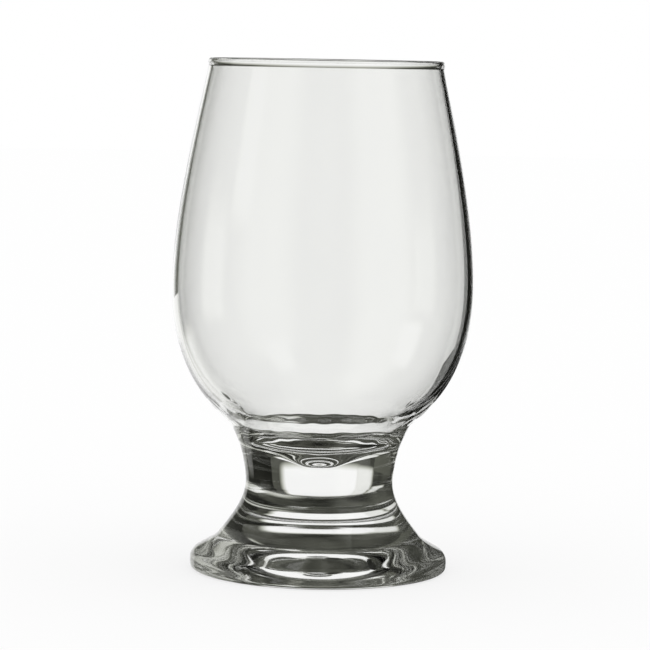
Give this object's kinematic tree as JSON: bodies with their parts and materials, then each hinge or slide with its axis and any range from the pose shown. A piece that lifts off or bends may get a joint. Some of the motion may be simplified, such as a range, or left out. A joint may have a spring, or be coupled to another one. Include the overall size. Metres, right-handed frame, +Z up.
{
  "type": "stemmed beer glass",
  "caption": "Clear stemmed beer glass: a tall belly-shaped bowl narrowing to the rim, on a short thick waisted stem and a flared round foot.",
  "frame": {"origin": "middle of the face that the glass stands on", "axes": "+Z up along the glass's own axis, towards the rim; the glass is round, so X and Y are any two level directions"},
  "size_m": [0.0782, 0.0782, 0.1326],
  "materials": {
    "clear_glass": "clear and fire-polished"
  },
  "bodies": {
    "root": {"bowl": "clear_glass", "stem": "clear_glass", "foot": "clear_glass"}
  },
  "joints": []
}
